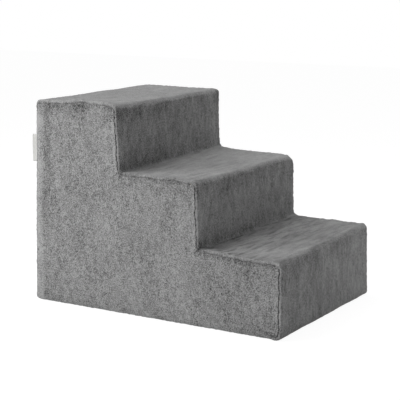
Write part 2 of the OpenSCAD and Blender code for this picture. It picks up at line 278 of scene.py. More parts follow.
def new_material(name, roughness, **constants):
    """A material with a Principled shader, whose constant numbers are set on its own sockets."""
    material = bpy.data.materials.new(name)
    material.use_nodes = True
    shader = material.node_tree.nodes["Principled BSDF"]
    shader.inputs["Roughness"].default_value = roughness
    for socket, value in constants.items():
        shader.inputs[socket.replace("_", " ")].default_value = value
    return material, shader


def noise_node(material, vector, scale, detail, roughness=0.5):
    return add_node(
        material, "ShaderNodeTexNoise", Vector=vector, Scale=scale, Detail=detail, Roughness=roughness
    ).outputs["Fac"]


def paint(material, shader, factor, stops):
    """Colours the shader by a ramp through stops of (place, red, green, blue)."""
    made = add_node(material, "ShaderNodeValToRGB", Fac=factor)
    ramp = made.color_ramp
    while len(ramp.elements) < len(stops):
        ramp.elements.new(0.5)
    for element, stop in zip(ramp.elements, stops):
        element.position = stop[0]
        element.color = (stop[1], stop[2], stop[3], 1.0)
    material.node_tree.links.new(made.outputs["Color"], shader.inputs["Base Color"])


def object_place(material):
    return add_node(material, "ShaderNodeTexCoord").outputs["Object"]


def bump(material, shader, height, distance, strength):
    made = add_node(material, "ShaderNodeBump", Height=height, Distance=distance, Strength=strength)
    material.node_tree.links.new(made.outputs["Normal"], shader.inputs["Normal"])


def speckled(name, roughness, specks, stops, **constants):
    """A material in specks of (scale, detail, roughness), coloured through the stops of a ramp."""
    material, shader = new_material(name, roughness, **constants)
    place = object_place(material)
    paint(material, shader, noise_node(material, place, *specks), stops)
    return material, shader, place


foam_material, foam_shader, foam_place = speckled(
    "open_cell_foam", 0.95, (260.0, 4.0, 0.5), [(0.3, 0.66, 0.58, 0.40), (0.7, 0.84, 0.78, 0.62)],
    Specular_IOR_Level=0.15,
)
foam_cells = add_node(
    foam_material, "ShaderNodeTexVoronoi", {"feature": "DISTANCE_TO_EDGE"}, Vector=foam_place, Scale=700.0
).outputs["Distance"]
bump(foam_material, foam_shader, foam_cells, 0.0006, 0.7)

foam_back_x = back_x + plush_t
foam_bottom_z = foot_z + plush_t
foam_low_z = low_z - plush_t
foam_middle_z = middle_z - plush_t
foam_half = half_width - plush_t
foam_edge_r = roll_r - plush_t
foam_nose_r = nose_r - plush_t
glue_r = 0.001
dent_slope = 0.004
dent_end_x = front_x - 0.016
foam_y = np.concatenate([
    np.linspace(-foam_half + foam_edge_r, zip_y - zip_dent_half - dent_slope, 15),
    [zip_y - zip_dent_half, zip_y, zip_y + zip_dent_half],
    np.linspace(zip_y + zip_dent_half + dent_slope, foam_half - foam_edge_r, 5),
])


def foam_slab(name, node, corners, glued):
    """A slab whose ends are rounded, apart from the sides that are glued to the next slab."""
    outline, outward = side_path(corners, 0.012, 6, closed=True)
    bound = np.array([glued(x, z) for x, z in outline])
    rounding = math.radians(90) * steps(5)
    ends = [
        (-foam_half + foam_edge_r * (1 - math.cos(a)), foam_edge_r * (1 - math.sin(a))) for a in rounding[:-1]
    ]
    sections = ends + [(y, 0.0) for y in foam_y] + [(-y, inset) for y, inset in ends[::-1]]
    points = []
    for y, inset in sections:
        ring = outline - outward * (inset * (1 - bound))[:, None]
        for x, z in ring:
            dented = abs(y - zip_y) < zip_dent_half + 0.0001 and z < foam_bottom_z + 0.0001
            points.append((x, y, zip_dent_top if dented and abs(x) < dent_end_x else z))
    faces = grid_faces(len(sections), len(outline), around=True)
    faces.append(tuple(range(len(outline)))[::-1])
    last = (len(sections) - 1) * len(outline)
    faces.append(tuple(range(last, last + len(outline))))
    faces = [face[::-1] for face in faces]
    piece = mesh_object(name, points, faces)
    write_points(piece, fitted(read_points(piece)))
    piece.data.materials.append(foam_material)
    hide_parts(node)
    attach(piece, "stairs")


foam_slab(
    "foam_base",
    "foam_base_slab",
    [
        (foam_back_x, foam_bottom_z, foot_r - plush_t),
        (foam_back_x, foam_low_z, glue_r),
        (front_x - plush_t, foam_low_z, foam_nose_r),
        (front_x - plush_t, foam_bottom_z, foot_r - plush_t),
    ],
    lambda x, z: 1.0 if z > low_z - 0.003 and x < middle_riser_x - 0.010 else 0.0,
)
foam_slab(
    "foam_middle",
    "foam_middle_slab",
    [
        (foam_back_x, foam_low_z, glue_r),
        (foam_back_x, foam_middle_z, glue_r),
        (middle_riser_x - plush_t, foam_middle_z, foam_nose_r),
        (middle_riser_x - plush_t, foam_low_z, glue_r),
    ],
    lambda x, z: 1.0 if z < low_z or z > middle_z - 0.003 and x < top_riser_x - 0.010 else 0.0,
)
foam_slab(
    "foam_top",
    "foam_top_slab",
    [
        (foam_back_x, foam_middle_z, glue_r),
        (foam_back_x, top_z - plush_t, back_r - plush_t),
        (top_riser_x - plush_t, top_z - plush_t, foam_nose_r),
        (top_riser_x - plush_t, foam_middle_z, glue_r),
    ],
    lambda x, z: 1.0 if z < middle_z else 0.0,
)


# Plush. A knitted polyester ground with a pile of about two millimetres that lies down the
# sides. Where the pile lies another way it looks lighter or darker, in soft patches.
def drawn_down(material, vector, height):
    """The place on the piece with its height shrunk, so that a texture is drawn out up and down."""
    return add_node(
        material, "ShaderNodeMapping", {"vector_type": "POINT"}, Vector=vector, Scale=(1.0, 1.0, height)
    ).outputs["Vector"]


def attribute(material, name):
    return add_node(material, "ShaderNodeAttribute", {"attribute_name": name}).outputs["Fac"]


def maths(material, operation, *values):
    """The result of a Math node. Each value is a number or a socket."""
    inputs = {f"_{i}": value for i, value in enumerate(values)}
    return add_node(material, "ShaderNodeMath", {"operation": operation}, **inputs).outputs["Value"]


def mapped(material, value, taken, given, turn="SMOOTHSTEP"):
    """A value from the range that is taken, brought to the range that is given."""
    return add_node(
        material, "ShaderNodeMapRange", {"interpolation_type": turn}, Value=value,
        From_Min=taken[0], From_Max=taken[1], To_Min=given[0], To_Max=given[1],
    ).outputs["Result"]


def plush(name, grain, streak, pale, dark, ridge_highlight):
    """Plush: grain is how much its tufts show, streak how far its patches run down the sides, pale and
    dark the two ends of its shades, and ridge_highlight how much painted highlight it gets where it
    stands up beside a seam, with painted shade just past that. In the seam line it is painted dark as
    shadow."""
    material, shader = new_material(
        name, 0.92, Specular_IOR_Level=0.12, Sheen_Weight=0.16, Sheen_Roughness=0.45,
        Sheen_Tint=(0.62, 0.62, 0.62, 1.0),
    )
    place = object_place(material)
    normal = add_node(material, "ShaderNodeNewGeometry").outputs["Normal"]
    facing_up = add_node(material, "ShaderNodeSeparateXYZ", Vector=normal).outputs["Z"]
    # On faces that look up the patches are weaker. This is partly because the pile's ends show less there,
    # and partly painted light, standing in for light that shows the grain less on the treads.
    flat = mapped(material, maths(material, "ABSOLUTE", facing_up), (0.45, 0.95), (1.0, 0.45))
    wide = noise_node(material, drawn_down(material, place, 0.55), 26.0, 3.0, 0.6)
    patches = noise_node(material, drawn_down(material, place, streak), 95.0, 3.0, 0.6)
    tufts = noise_node(material, drawn_down(material, place, 0.4 + streak * 0.6), 500.0, 3.0, 0.8)
    fine = noise_node(material, place, 1150.0, 1.0, 0.6)
    shade = 0.0
    for value, weight in ((wide, 0.36), (patches, 0.62), (tufts, grain), (fine, grain * 0.5)):
        shade = maths(material, "MULTIPLY_ADD", maths(material, "SUBTRACT", value, 0.5), weight, shade)
    shade = maths(material, "MULTIPLY", shade, flat)
    # Adds the pile's nap tone together with the painted light and shade that each piece keeps at its points.
    shade = maths(material, "ADD", shade, attribute(material, "nap_and_painted_light"))
    beside_seam = attribute(material, "seam_gap")
    # Beside the seams the plush is painted: dark in the seam line as shadow, lighter on the ridge that stands
    # up beside it as a highlight, and darker again just past the ridge as shade.
    seam_line_shadow = mapped(material, patches, (0.40, 0.58), (0.12, 0.46), "LINEAR")
    uneven = mapped(material, wide, (0.40, 0.60), (0.45, 1.20), "LINEAR")
    ridge_light_and_shade = maths(material, "MULTIPLY", uneven, ridge_highlight)
    for operation, weight, distance, shown in (
        ("SUBTRACT", seam_line_shadow, (0.0004, 0.0020), (1.0, 0.0)),
        ("ADD", ridge_light_and_shade, (0.0014, 0.0028), (0.0, 1.0)),
        ("SUBTRACT", ridge_light_and_shade, (0.0046, 0.0078), (0.0, 1.0)),
    ):
        band = maths(material, "MULTIPLY", mapped(material, beside_seam, distance, shown), weight)
        shade = maths(material, operation, shade, band)
    paint(
        material, shader, maths(material, "ADD", shade, 0.512),
        [(0.0, 0.02, 0.02, 0.02), (0.15, dark, dark, dark), (0.85, pale, pale, pale)],
    )
    bump(material, shader, maths(material, "ADD", tufts, fine), 0.0016, 0.55)
    return material


side_plush = plush("plush_sides", grain=2.60, streak=0.70, pale=0.46, dark=0.08, ridge_highlight=0.11)
step_plush = plush("plush_steps", grain=1.92, streak=0.42, pale=0.45, dark=0.09, ridge_highlight=0.17)

# Seams. The panels are sewn face to face and turned, so that both edges dive inward at the
# stitches, and the thread draws small puckers into the pile on both sides. An edge bends in by
# turn_r, runs on by turn_in, and crosses the other by a little. turn_under is the strip that lies
# on the floor side, and back_drop is how far the seam on the back lies under the top.
turn_r = 0.0017
turn_in = 0.0011
crossed = 0.0006
turn_under = 0.018
back_drop = 0.018
seam_z = top_z - back_drop
turned = np.radians(90) * steps(3)

outline_corners = [
    (back_x, foot_z, foot_r),
    (back_x, top_z, back_r),
    (top_riser_x, top_z, nose_r),
    (top_riser_x, middle_z, inner_r),
    (middle_riser_x, middle_z, nose_r),
    (middle_riser_x, low_z, inner_r),
    (front_x, low_z, nose_r),
    (front_x, foot_z, foot_r),
]
seam_lines = []


def add_seam(points, sideways, outward):
    """Keeps a stitched line: its points, and at each the directions across it, out of the cloth and
    along it, and how far along it lies."""
    points = np.array(points, float)
    ahead = np.gradient(points, axis=0)
    ahead = ahead / np.linalg.norm(ahead, axis=1, keepdims=True)
    steps_along = np.linalg.norm(np.diff(points, axis=0), axis=1)
    along = np.concatenate([[0.0], np.cumsum(steps_along)])
    for point, way, heading, place in zip(points, sideways, ahead, along):
        seam_lines.append((point, np.array(way, float), np.array(outward, float), heading, place))


on_back = (back_x, seam_z, 0.0)
under_front = (front_x - turn_under, foot_z, 0.0)
under_back = (back_x + turn_under, foot_z, 0.0)
step_corners = [on_back] + outline_corners[1:] + [under_front]
step_line, step_out = side_path(step_corners, 0.003, 8)
under_line = side_path([under_front, outline_corners[0], on_back], 0.003, 8)[0]
for side in (-1, 1):
    add_seam(
        [
            (x - nx * roll_r, side * half_width, z - nz * roll_r)
            for (x, z), (nx, nz) in zip(step_line, step_out)
        ],
        [(nx, 0.0, nz) for nx, nz in step_out],
        (0.0, side, 0.0),
    )
    add_seam(
        [(x, side * (half_width - roll_r), z) for x, z in under_line],
        [(0.0, -side, 0.0) for point in under_line],
        (0.0, 0.0, 0.0),
    )
across = np.linspace(-half_width + roll_r, half_width - roll_r, 140)
for corner, way, outward in (
    (on_back, (0.0, 0.0, 1.0), (-1.0, 0.0, 0.0)),
    (under_front, (1.0, 0.0, 0.0), (0.0, 0.0, 0.0)),
    (under_back, (1.0, 0.0, 0.0), (0.0, 0.0, 0.0)),
):
    add_seam([(corner[0], y, corner[1]) for y in across], [way] * len(across), outward)
seam_tree = kdtree.KDTree(len(seam_lines))
for number, line in enumerate(seam_lines):
    seam_tree.insert(Vector(line[0]), number)
seam_tree.balance()

# Waves along a seam, each with its length, start and size. Ripples are puckers, wobbles go sideways.
# Beside a seam the cloth bulks out. On the labelled side it stands forward along the risers, and it
# is pulled in at the two back corners above the seam on the back. Its own unevenness begins over
# relief_reach and sinks by no more than sinks_at_most.
ripples = [(0.0085, 0.4, 0.34), (0.0118, 2.1, 0.30), (0.0161, 4.4, 0.26), (0.0243, 1.2, 0.22)]
wobbles = [(0.019, 0.9, 0.30), (0.037, 3.3, 0.40), (0.071, 5.1, 0.45)]
pucker_height = 0.0014
pucker_reach = 0.0032
wobble_size = 0.0016
wobble_reach = 0.0045
seam_bulk = 0.0013
bulk_reach = 0.008
forward = 0.0034
forward_reach = 0.008
corner_pull = 0.0012
corner_reach = 0.0045
corner_inset = 0.0014
relief_reach = 0.010
sinks_at_most = 0.0012
tuft_size = 0.0045
tuft_height = 0.00022

# How the plush beside the stitches looks. Along the treads no ridge stands up, so no painted ridge
# highlight is wanted there, which the wide tread_gap sees to. There the pile is painted dark, as
# shadow, in the seam line and just under it, and painted lighter above, as a highlight on the roll.
seam_width = 0.0042
tread_gap = 0.020
in_shade = 0.0045
seam_shadow_width = 0.0012
roll_highlight_width = 0.0030


def waves(phase, parts):
    return sum(size * math.sin(2 * math.pi * phase / wave + start) for wave, start, size in parts)


def drawn_in(piece, seed, relief):
    """Lets the thread pucker the cloth beside its seams, and adds the unevenness that relief gives
    the cloth itself. Keeps two numbers at each point for the plush: seam_gap, the distance to the
    seam, and a second for how much lighter or darker the pile is there, partly its nap and partly
    painted light and shade, with painted shadow and highlight beside the tread seams."""
    points = read_points(piece)
    normals = read_points(piece, "normal")
    moved = points.copy()
    raised, nap_and_painted_light = relief(points, normals, seed)
    tuft = lumps(points, tuft_size, seed + 9)
    gaps = np.zeros(len(points))
    for i, point in enumerate(points):
        number, gap = seam_tree.find(Vector(point))[1:]
        seam_point, way, outward, heading, along = seam_lines[number]
        offset = point - seam_point
        phase = along + float(np.dot(offset, heading)) + seam_point[1] * 0.13
        sway = waves(phase, wobbles)
        close = gap / pucker_reach
        shown = 1.0 if outward.any() else 0.35
        rise = shown * pucker_height * close * math.exp(1 - close) * waves(phase, ripples)
        rise += max((1 - math.exp(-gap / relief_reach)) * raised[i] + tuft_height * tuft[i], -sinks_at_most)
        shift = way * (wobble_size * sway * math.exp(-gap / wobble_reach))
        bulk = seam_bulk * math.exp(-gap / bulk_reach) * smooth(point[2], foot_z, foot_z + foot_r)
        if point[2] > seam_z - 0.003:
            corner = math.hypot(point[0] - back_x - corner_inset, half_width - corner_inset - abs(point[1]))
            at_corner = math.exp(-(corner / corner_reach) ** 2)
            bulk *= 1 - at_corner
            shift += at_corner * corner_pull * np.array((1.0, -np.sign(point[1]), 0.0))
        if outward[1] < 0:
            shift[0] += forward * max(way[0], 0.0) ** 2 * math.exp(-gap / forward_reach)
        moved[i] = point + normals[i] * rise + shift + outward * bulk
        above = float(np.dot(offset, way))
        gaps[i] = max(abs(above), gap - seam_width)
        # Along the treads: painted shadow in the seam line and just under it, and a painted highlight on the
        # roll above.
        if abs(way[2]) > 0.3 and outward.any():
            level = smooth(abs(way[2]), 0.3, 0.9)
            gaps[i] += level * (tread_gap - gaps[i])
            on_low = seam_point[2] < low_z
            under_seam_shadow = 0.16 if on_low else 0.12
            tread_seam_shade = 0.06 * math.exp(-(above / seam_shadow_width) ** 2)
            nap_and_painted_light[i] -= level * (0.75 + 0.4 * sway) * (
                under_seam_shadow * math.exp(-((above + 0.0035) / in_shade) ** 2) + tread_seam_shade
            )
            roll_highlight = 0.07 if on_low else 0.03 if seam_point[2] < middle_z else 0.12
            nap_and_painted_light[i] += level * roll_highlight * math.exp(-((above - 0.0045) / roll_highlight_width) ** 2)
    write_points(piece, fitted(moved))
    for name, values in (("seam_gap", gaps), ("nap_and_painted_light", nap_and_painted_light)):
        piece.data.attributes.new(name, "FLOAT", "POINT").data.foreach_set("value", values)


# The unevenness of the foam, which shows through all the plush, and on the sides the swell at the
# back edge. The shades are how much lighter or darker the pile is painted: painted highlight on the
# swell, and painted shade in the band beside it, under the top seam and along the back edge.
broad_size = 0.070
small_size = 0.011
swell_height = 0.0034
strip_highlight = 0.13
band_shade = 0.062
under_top_shade = 0.125
back_edge_shade = 0.20


def side_relief(points, normals, seed):
    """The foam is rounder at the back edge, so the side swells there. The swell's light and shade are
    painted into the pile, with painted shade under the top seam and at the back edge.
    """
    x, y, z = points.T
    inward = x - back_x
    strip = smooth(inward, 0.001, 0.008) * smooth(inward, 0.030, 0.021)
    high = smooth(z, 0.10, 0.36)
    from_strip = inward - 0.030 * (1 - high)
    band = smooth(from_strip, 0.021, 0.031) * smooth(from_strip, 0.054, 0.040) * (0.35 + 0.65 * high)
    shaded_edge = smooth(inward, 0.0070, 0.0025)
    swell = smooth(inward, 0.001, 0.015) - smooth(inward, 0.017, 0.046)
    waver = 1.0 + 0.4 * lumps(points, 0.060, seed + 31)
    under_top = top_z - z
    shaded_under_top = smooth(under_top, 0.006, 0.012) * smooth(under_top, 0.042, 0.026)
    to_front = smooth(x, -0.20, -0.15)
    shaded_under_top = shaded_under_top * (0.45 + 0.55 * to_front) * smooth(lumps(points, 0.045, seed + 41), -0.7, 0.2)
    flat = np.abs(normals[:, 1]) ** 2
    rise = flat * (
        swell_height * swell * waver + 0.0010 * lumps(points, broad_size, seed)
        + 0.00035 * lumps(points, small_size, seed + 5)
    )
    # Painted highlight on the strip of the swell, and painted shade in the band beyond it, under the top seam
    # and along the back edge.
    nap_and_painted_light = strip_highlight * strip * waver - band_shade * band * waver
    nap_and_painted_light = nap_and_painted_light - under_top_shade * shaded_under_top - back_edge_shade * shaded_edge
    # Then lighter in the middle of the side's length, and darker towards its front end.
    nap_and_painted_light += 0.030 * smooth(x, -0.22, -0.05) * smooth(x, 0.22, 0.10)
    return rise, nap_and_painted_light + 0.012 - 0.035 * smooth(x, 0.12, 0.28)


# The creases that lie along the treads, and the pile's painted light and shade: painted shade in the
# creases, over the top tread, along the near edges of the low and middle treads, on the top riser's
# near side, under the noses and in the folds at the inner corners, and painted light on the far part
# of the middle tread and up the front towards the far side.
crease_height = 0.0011
nose_height = 0.0011
streak_shade = 0.10
crease_shade = 0.20
tread_light_and_shade = 0.13
front_light_and_shade = 0.13
under_nose_shade = 0.13
fold_shade = 0.24

# Each riser's place, foot and head.
riser_faces = [(top_riser_x, middle_z, top_z), (middle_riser_x, low_z, middle_z), (front_x, 0.0, low_z)]


def step_relief(points, normals, seed):
    """Creases along the treads, most on the lowest one, an uneven roll over the noses, and painted
    shade in the folds behind, in the creases and under the noses, with painted light and shade on
    the treads and risers.
    """
    x, y, z = points.T
    level = smooth(normals[:, 2], 0.5, 0.9)
    upright = smooth(np.abs(normals[:, 0]), 0.5, 0.9)
    on_low = z < low_z + 0.02
    on_middle = (z > low_z + 0.02) & (z < middle_z + 0.02)
    on_top = z > middle_z + 0.02
    most = np.where(on_low, 1.0, np.where(z < middle_z + 0.02, 0.45, 0.25))
    broad = lumps(points, 0.024, seed + 23, (1.0, 3.0, 1.0))
    creases = lumps(points, 0.010, seed + 17, (1.0, 4.0, 1.0)) + 0.9 * broad
    drawn = lumps(points, 0.013, seed + 27, (1.0, 1.0, 4.0))
    nose = smooth(normals[:, 0] * normals[:, 2], 0.12, 0.40)
    near = smooth(y, half_width, -half_width)
    at_edge = smooth(y, -half_width + 0.060, -half_width + 0.012)
    rise = (
        0.0009 * lumps(points, broad_size, seed) + 0.00030 * lumps(points, small_size, seed + 5)
        + crease_height * level * most * creases + 0.00035 * upright * drawn
        + nose_height * nose * (1 + 1.2 * lumps(points, 0.036, seed + 37))
    )
    streaks = lumps(points, 0.0075, seed + 43, (1.0, 5.0, 1.0))
    # Thin lines of painted shade in the creases, away from the front edge of each tread.
    shaded_crease_lines = smooth(lumps(points, 0.0065, seed + 61, (1.0, 7.0, 1.0)), 0.20, 0.70)
    shaded_crease_lines = shaded_crease_lines * smooth(x, front_x - 0.045, front_x - 0.110)
    nap_and_painted_light = level * most * (streak_shade * streaks + 0.08 * broad - crease_shade * shaded_crease_lines + 0.028)
    # Painted light on the far part of the middle tread, and painted shade along the near edges of the low and
    # middle treads.
    nap_and_painted_light += level * (
        on_middle * tread_light_and_shade * (1 - near) - on_low * tread_light_and_shade * at_edge - on_middle * 0.04 * at_edge
    )
    # Painted shade over the top tread.
    nap_and_painted_light -= level * on_top * 0.042
    # Painted light and shade up the front riser: lighter towards the far side, darker at the near side.
    nap_and_painted_light += upright * smooth(x, front_x - 0.02, front_x - 0.01) * front_light_and_shade * (0.64 - near)
    # Painted shade on the top riser towards the near side.
    nap_and_painted_light -= upright * (z > middle_z) * (x > back_x + 0.02) * 0.050 * near
    bend = 0.0030 * lumps(points, 0.030, seed + 53)
    patchy = 0.7 + 0.8 * lumps(points, 0.040, seed + 47)
    for riser_x, low, high in riser_faces:
        behind = smooth(x, riser_x - 0.02, riser_x - 0.01)
        here = smooth(np.abs(normals[:, 0]), 0.2, 0.5) * behind
        here = here * smooth(x, riser_x + 0.03, riser_x + 0.02)
        # Painted shade on each riser under its nose.
        under_nose = smooth(high - z + bend, 0.005, 0.010) * smooth(high - z, 0.058, 0.018)
        nap_and_painted_light -= under_nose_shade * here * under_nose * (0.55 + 0.45 * near) * patchy
        # Painted shade in the fold at each inner corner, most on the near side.
        in_fold = np.exp(-(x - riser_x).clip(0.0) / 0.012 - ((z - low).clip(0.0) / 0.026) ** 1.5)
        in_fold = in_fold * (0.30 + 0.70 * near) * (low > 0) * (z > low - 0.02)
        nap_and_painted_light -= fold_shade * in_fold * behind
    return rise, nap_and_painted_light


# How the panels settle on the foam: frames of the simulation, and how far they may sink into it.
settle_frames = 20
sinks_in = 0.0005


def settle(piece, held, fullness, pressure, cap):
    """Cloth simulation: the panel is cut a little full, and the foam presses it out between its seams."""
    start = read_points(piece)
    out = read_points(piece, "normal")
    group = piece.vertex_groups.new(name="stitched")
    group.add([int(i) for i in held], 1.0, "REPLACE")
    modifier = piece.modifiers.new("settle", "CLOTH")
    cloth = modifier.settings
    cloth.quality = 5
    cloth.mass = 0.08
    cloth.tension_stiffness = 14.0
    cloth.compression_stiffness = 14.0
    cloth.shear_stiffness = 6.0
    cloth.bending_stiffness = 2.0
    cloth.vertex_group_mass = "stitched"
    cloth.shrink_min = -fullness
    cloth.shrink_max = -fullness
    cloth.use_pressure = True
    cloth.uniform_pressure_force = pressure
    cloth.effector_weights.gravity = 0.0
    modifier.point_cache.frame_start = 1
    modifier.point_cache.frame_end = settle_frames
    for number in range(1, settle_frames + 1):
        scene.frame_set(number)
    seen = piece.evaluated_get(bpy.context.evaluated_depsgraph_get())
    settled = np.empty(len(seen.data.vertices) * 3)
    seen.data.vertices.foreach_get("co", settled)
    shift = settled.reshape(-1, 3) - start
    piece.modifiers.remove(modifier)
    piece.vertex_groups.remove(group)
    scene.frame_set(1)
    inward = np.minimum(np.sum(shift * out, axis=1) + sinks_in, 0.0)
    shift = shift - out * inward[:, None]
    length = np.linalg.norm(shift, axis=1, keepdims=True)
    capped = cap * np.tanh(length / cap)
    write_points(piece, start + shift / np.maximum(length, 1e-9) * capped)
    print("settled", piece.name, "largest move in mm", round(float(length.max()) * 1000, 2))


def keep_shape(piece, modifier):
    """Makes the mesh that a modifier gives the piece its own, smooth shaded."""
    seen = piece.evaluated_get(bpy.context.evaluated_depsgraph_get())
    shaped = bpy.data.meshes.new_from_object(seen)
    piece.modifiers.remove(modifier)
    piece.data = shaped
    shade_smooth(piece.data)


def make_finer(piece):
    """Halves the squares of the mesh."""
    modifier = piece.modifiers.new("finer", "SUBSURF")
    modifier.levels = 1
    modifier.render_levels = 1
    keep_shape(piece, modifier)


# Step cover. One strip of plush as wide as the stairs. It starts at the seam across the back,
# runs over all treads and risers, and is turned under the front. Along both sides it is rolled
# over the edge and sewn to the side covers.
cloth_step = 0.0058
held_points = 4


def strip_points(line, outward, section):
    """Sweeps a section (y, depth, y outward, depth outward) along a line in the side view, and turns
    both ends in."""
    ends = [(turn_r + turn_in, -crossed)]
    ends += [(turn_r * (1 - math.sin(a)), turn_r * (1 - math.cos(a))) for a in turned]
    first_way = (line[1] - line[0]) / np.linalg.norm(line[1] - line[0])
    last_way = (line[-2] - line[-1]) / np.linalg.norm(line[-2] - line[-1])
    track = [(line[0] + first_way * shift, outward[0], sunk) for sunk, shift in ends]
    for place, way in zip(line, outward):
        if min(np.linalg.norm(place - line[0]), np.linalg.norm(place - line[-1])) > turn_r * 1.5:
            track.append((place, way, 0.0))
    track += [(line[-1] + last_way * shift, outward[-1], sunk) for sunk, shift in ends[::-1]]
    points = []
    for (x, z), (nx, nz), sunk in track:
        for y, depth, out_y, out_depth in section:
            down = depth + sunk * out_depth
            points.append((x - nx * down, y - out_y * sunk, z - nz * down))
    return points, len(track)


def mirrored(half):
    """The whole section from its left half, which ends short of the middle."""
    return half + [(-y, depth, -out_y, out_depth) for y, depth, out_y, out_depth in half[::-1]]


def section_length(section):
    return sum(math.hypot(b[0] - a[0], b[1] - a[1]) for a, b in zip(section, section[1:]))


def line_length(line):
    return float(np.linalg.norm(np.diff(line, axis=0), axis=1).sum())


def sewn_strip(name, corners, section, seed, fullness, pressure, cap):
    """A strip of plush along the corners, sewn on all four sides, with its width and length laid flat."""
    line, outward = side_path(corners, cloth_step, 7)
    points, rows = strip_points(line, outward, section)
    columns = len(section)
    piece = mesh_object(name, points, [f[::-1] for f in grid_faces(rows, columns)])
    held = [
        i * columns + j for i in range(rows) for j in range(columns)
        if min(i, j, rows - 1 - i, columns - 1 - j) < held_points
    ]
    settle(piece, held, fullness, pressure, cap)
    make_finer(piece)
    drawn_in(piece, seed, step_relief)
    piece.data.materials.append(step_plush)
    return piece, (section_length(section), line_length(line) + 2 * (turn_r + turn_in))


# Half of its section: turned in at the stitches, rolled over the edge, a little squarer than a
# circle because the foam fills it, then flat.
roll_start = math.asin(turn_r / roll_r)
squareness = 0.55
left_half = [(-half_width + turn_r + turn_in, roll_r + crossed, -1.0, 0.0)]
for a in turned[:-1]:
    turned_y = -half_width + turn_r * (1 - math.sin(a))
    left_half.append((turned_y, roll_r - turn_r * (1 - math.cos(a)), -math.sin(a), -math.cos(a)))
for share in steps(8):
    b = roll_start * 0.25 + (math.radians(90) - roll_start * 0.25) * share
    rolled_y = -half_width + roll_r * (1 - abs(math.cos(b)) ** squareness)
    left_half.append((rolled_y, roll_r * (1 - math.sin(b) ** squareness), -math.cos(b), math.sin(b)))
flat_count = math.ceil((half_width - roll_r) / cloth_step)
flat_y = -(half_width - roll_r) * (1 - steps(flat_count))
left_half += [(y, 0.0, 0.0, 1.0) for y in flat_y[1:-1]]
step_cover, step_flat = sewn_strip(
    "step_cover", step_corners, mirrored(left_half), seed=3, fullness=0.008, pressure=0.6, cap=0.0018
)
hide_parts("step_panel")
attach(step_cover, "stairs")

# Back cover. A flat piece of plush between the seams on the back, turned under at the floor. Its
# edges are turned in towards the foam.
back_edge_y = -half_width + roll_r
back_half = [(back_edge_y - crossed, turn_r + turn_in, -1.0, 0.0)]
for a in turned:
    back_half.append((
        back_edge_y + turn_r * (1 - math.cos(a)), turn_r * (1 - math.sin(a)), -math.cos(a), math.sin(a)
    ))
back_flat_y = -(half_width - roll_r - turn_r) * (1 - steps(flat_count))
back_half += [(y, 0.0, 0.0, 1.0) for y in back_flat_y[1:-1]]
back_cover, back_flat = sewn_strip(
    "back_cover", [under_back, outline_corners[0], on_back], mirrored(back_half),
    seed=21, fullness=0.006, pressure=0.5, cap=0.0022,
)
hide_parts("back_panel")
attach(back_cover, "stairs")

# Side covers. Two stair-shaped pieces of plush. Along the treads and risers each ends in the
# seam on the side. Along the back and the floor it is rolled round the edge to the next seam.
flat_inset = roll_r + turn_r
even_out_rounds = 120


def lines_between(low, high, near):
    """Grid lines from low to high: finer beside the step corners in near, and cloth_step apart elsewhere."""
    found = {low, high}
    for place in near:
        found.add(place)
        found.update(place - (nose_r - flat_inset) * k / 3 for k in range(1, 4))
        found.update(place + (inner_r + flat_inset) * k / 5 for k in range(1, 6))
    fixed = sorted(v for v in found if low - 1e-9 <= v <= high + 1e-9)
    lines = [fixed[0]]
    for a, b in zip(fixed, fixed[1:]):
        if b - a < 1e-6:
            continue
        count = max(1, round((b - a) / cloth_step))
        lines += [a + (b - a) * share for share in steps(count)[1:]]
    return np.array(lines)


def weld(piece):
    """Joins the points of a piece that lie on each other."""
    work = bmesh.new()
    work.from_mesh(piece.data)
    bmesh.ops.remove_doubles(work, verts=work.verts, dist=0.00002)
    work.to_mesh(piece.data)
    work.free()
    shade_smooth(piece.data)
    piece.data.update()


def line_at(lines, place):
    """The number of the grid line that is nearest to a place."""
    return int(np.argmin(abs(lines - place)))


# The flat part of a side cover is a grid that is cut to the stair shape. Two of its lines are moved
# to the seam on the back and to the one under the front.
side_x0 = back_x + flat_inset
side_x1 = front_x - flat_inset
side_z0 = foot_z + flat_inset
side_z1 = top_z - flat_inset
side_risers = (top_riser_x - flat_inset, middle_riser_x - flat_inset)
side_treads = (middle_z - flat_inset, low_z - flat_inset)
xs = lines_between(side_x0, side_x1, side_risers + (side_x1,))
zs = lines_between(side_z0, side_z1, side_treads + (side_z1,))
seam_row = line_at(zs, seam_z)
zs[seam_row] = seam_z
under_column = line_at(xs, front_x - turn_under)
xs[under_column] = front_x - turn_under
top_column = line_at(xs, side_risers[0])
middle_column = line_at(xs, side_risers[1])
middle_row = line_at(zs, side_treads[0])
low_row = line_at(zs, side_treads[1])
last_column = len(xs) - 1
last_row = len(zs) - 1
inside = np.zeros((len(xs), len(zs)), bool)
inside[: top_column + 1, :] = True
inside[: middle_column + 1, : middle_row + 1] = True
inside[:, : low_row + 1] = True

# The corners of its edge, clockwise from the front at the floor. Radii above 0 are for a corner that
# is cut round, radii under 0 for one that is filled.
marks = [
    (last_column, 0), (0, 0), (0, last_row), (top_column, last_row), (top_column, middle_row),
    (middle_column, middle_row), (middle_column, low_row), (last_column, low_row), (last_column, 0),
]
radii = [0.0, 0.0, 0.0, nose_r, -inner_r, nose_r, -inner_r, nose_r, 0.0]


